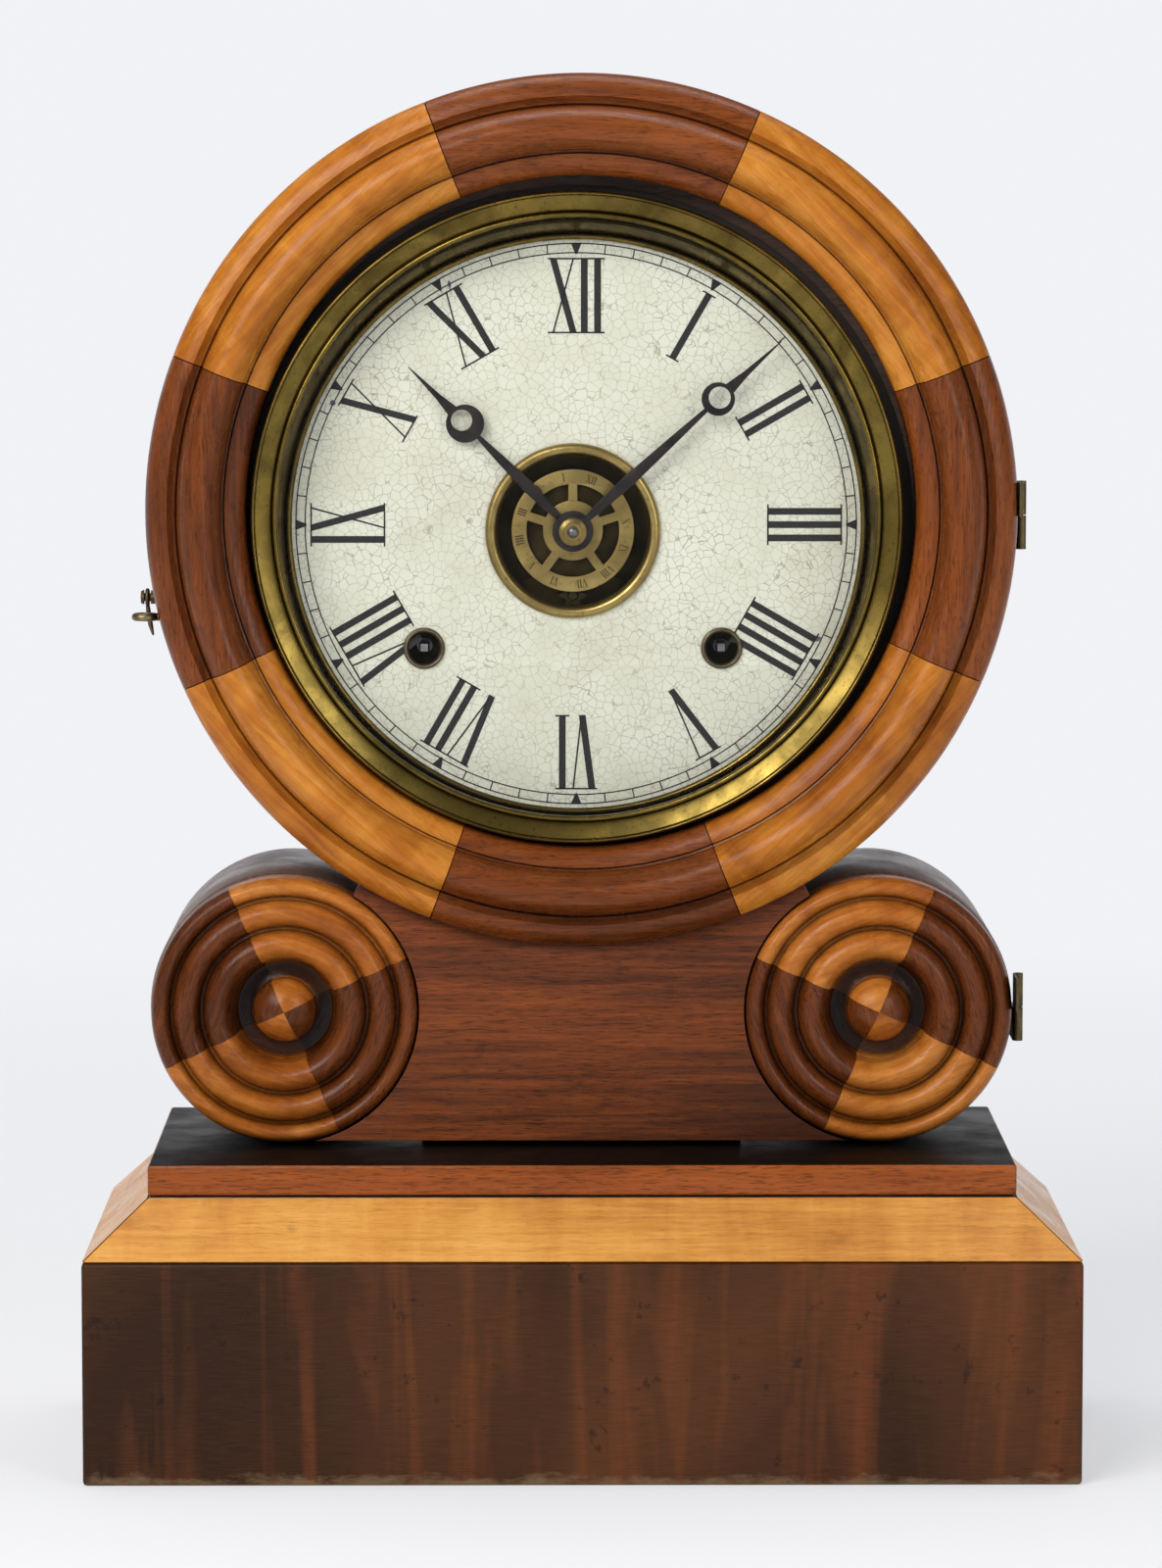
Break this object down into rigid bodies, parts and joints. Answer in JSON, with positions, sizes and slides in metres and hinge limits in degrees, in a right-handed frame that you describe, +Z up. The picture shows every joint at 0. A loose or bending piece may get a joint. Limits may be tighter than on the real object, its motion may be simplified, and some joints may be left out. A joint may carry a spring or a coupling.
{
  "type": "shelf clock",
  "caption": "Wooden shelf clock: round two-tone segmented door ring over two scroll rolls on a bevelled plinth, with glazed dial, hands, alarm disc, pendulum and gong.",
  "frame": {"origin": "on the table, under the middle of the plinth", "axes": "+Z up, the dial faces -Y, +X to the right as seen from the front"},
  "size_m": [0.287, 0.132, 0.404],
  "materials": {
    "dark_wood": "old shellac over red-brown hardwood",
    "light_wood": "old shellac over golden hardwood",
    "case_wood": "thin worn varnish",
    "brass": "aged, part polished",
    "steel": "bright to blued",
    "black_steel": "satin black",
    "dial_white": "crazed off-white paint",
    "glass": "clear"
  },
  "bodies": {
    "case": {"base_front_board": "dark_wood", "base_left_board": "dark_wood", "base_right_board": "dark_wood", "base_back_board": "dark_wood", "base_bevel_moulding": "light_wood", "base_step_plate": "dark_wood", "volute_roll_left": "case_wood", "volute_roll_right": "case_wood", "waist_side_left": "case_wood", "waist_side_right": "case_wood", "drum_shell": "case_wood", "back_board": "case_wood", "dial_board": "case_wood", "dial_plate": "dial_white", "dial_surround": "brass", "centre_ring": "brass", "winding_grommet_left": "brass", "winding_grommet_right": "brass", "hinge_leaf_case_upper": "brass", "hinge_leaf_case_lower": "brass", "latch_screw": "brass", "front_plate": "brass", "back_plate": "brass", "mainspring_time": "steel", "mainspring_strike": "steel", "coiled_gong": "steel"},
    "door": {"door_ring_segment_1": "light_wood", "door_ring_segment_2": "dark_wood", "door_ring_segment_3": "light_wood", "door_ring_segment_4": "dark_wood", "door_ring_segment_5": "light_wood", "door_ring_segment_6": "dark_wood", "door_ring_segment_7": "light_wood", "door_ring_segment_8": "dark_wood", "door_waist_panel": "dark_wood", "rosette_left": "light_wood", "rosette_right": "light_wood", "brass_sash": "brass", "dial_glass": "glass", "hinge_leaf_door_upper": "brass", "hinge_leaf_door_lower": "brass", "latch_eye": "brass"},
    "latch": {"latch_hook": "brass"},
    "minute": {"centre_arbor": "brass", "minute_hand": "black_steel", "hand_collet": "brass"},
    "hour": {"hour_wheel": "brass", "hour_hand": "black_steel"},
    "alarm": {"alarm_disc": "brass"},
    "motion": {"motion_wheel": "brass"},
    "time_main": {"main_wheel_time": "brass"},
    "second": {"second_wheel": "brass"},
    "third": {"third_wheel": "brass"},
    "escape": {"escape_wheel": "brass"},
    "strike_main": {"main_wheel_strike": "brass"},
    "time_winding": {"winding_arbor_time": "steel"},
    "strike_winding": {"winding_arbor_strike": "steel"},
    "verge": {"verge": "steel"},
    "pendulum": {"pendulum": "brass"},
    "hammer": {"strike_hammer": "steel"}
  },
  "joints": [
    {"name": "door_swing", "type": "hinge", "parent": "case", "child": "door", "pos_m": [0.1288, -0.0037, 0.277], "axis": [0, 0, 1], "range_deg": [0, 100]},
    {"name": "latch_turn", "type": "hinge", "parent": "case", "child": "latch", "pos_m": [-0.12461, 0.0036, 0.251], "axis": [-1, 0, 0], "range_deg": [-20, 85]},
    {"name": "minute_turn", "type": "hinge", "parent": "case", "child": "minute", "pos_m": [-0.0025, 0.0139, 0.2707], "axis": [0, -1, 0], "continuous": true},
    {"name": "hour_turn", "type": "hinge", "parent": "case", "child": "hour", "pos_m": [-0.0025, 0.0139, 0.2707], "axis": [0, -1, 0], "continuous": true},
    {"name": "alarm_set", "type": "hinge", "parent": "hour", "child": "alarm", "pos_m": [-0.0025, 0.0139, 0.2707], "axis": [0, -1, 0], "continuous": true},
    {"name": "motion_turn", "type": "hinge", "parent": "case", "child": "motion", "pos_m": [-0.0025, 0.0139, 0.2515], "axis": [0, -1, 0], "continuous": true},
    {"name": "time_main_turn", "type": "hinge", "parent": "case", "child": "time_main", "pos_m": [0.0412, 0.0139, 0.2362], "axis": [0, -1, 0], "continuous": true},
    {"name": "second_turn", "type": "hinge", "parent": "case", "child": "second", "pos_m": [0.02121, 0.0139, 0.25581], "axis": [0, -1, 0], "continuous": true},
    {"name": "third_turn", "type": "hinge", "parent": "case", "child": "third", "pos_m": [-0.0165, 0.0139, 0.29495], "axis": [0, -1, 0], "continuous": true},
    {"name": "escape_turn", "type": "hinge", "parent": "case", "child": "escape", "pos_m": [-0.0045, 0.0139, 0.31573], "axis": [0, -1, 0], "continuous": true},
    {"name": "strike_main_turn", "type": "hinge", "parent": "case", "child": "strike_main", "pos_m": [-0.0462, 0.0139, 0.2362], "axis": [0, -1, 0], "continuous": true},
    {"name": "time_winding_turn", "type": "hinge", "parent": "case", "child": "time_winding", "pos_m": [0.0412, 0.0139, 0.2362], "axis": [0, -1, 0], "continuous": true},
    {"name": "strike_winding_turn", "type": "hinge", "parent": "case", "child": "strike_winding", "pos_m": [-0.0462, 0.0139, 0.2362], "axis": [0, -1, 0], "continuous": true},
    {"name": "pendulum_swing", "type": "hinge", "parent": "case", "child": "pendulum", "pos_m": [-0.0045, 0.0139, 0.33453], "axis": [0, -1, 0], "range_deg": [-3, 3]},
    {"name": "verge_rock", "type": "hinge", "parent": "case", "child": "verge", "pos_m": [-0.0045, 0.0139, 0.33453], "axis": [0, -1, 0], "range_deg": [-3, 3]},
    {"name": "hammer_lift", "type": "hinge", "parent": "case", "child": "hammer", "pos_m": [-0.0225, 0.0139, 0.2227], "axis": [0, 1, 0], "range_deg": [0, 6]}
  ],
  "couplings": [
    {"joint": "minute_turn", "follows": "third_turn", "ratio": -0.16667},
    {"joint": "second_turn", "follows": "third_turn", "ratio": 0.027778},
    {"joint": "time_main_turn", "follows": "third_turn", "ratio": -0.0046296},
    {"joint": "escape_turn", "follows": "third_turn", "ratio": -5},
    {"joint": "motion_turn", "follows": "third_turn", "ratio": 0.055556},
    {"joint": "hour_turn", "follows": "third_turn", "ratio": -0.013889},
    {"joint": "verge_rock", "follows": "pendulum_swing", "ratio": 1}
  ]
}
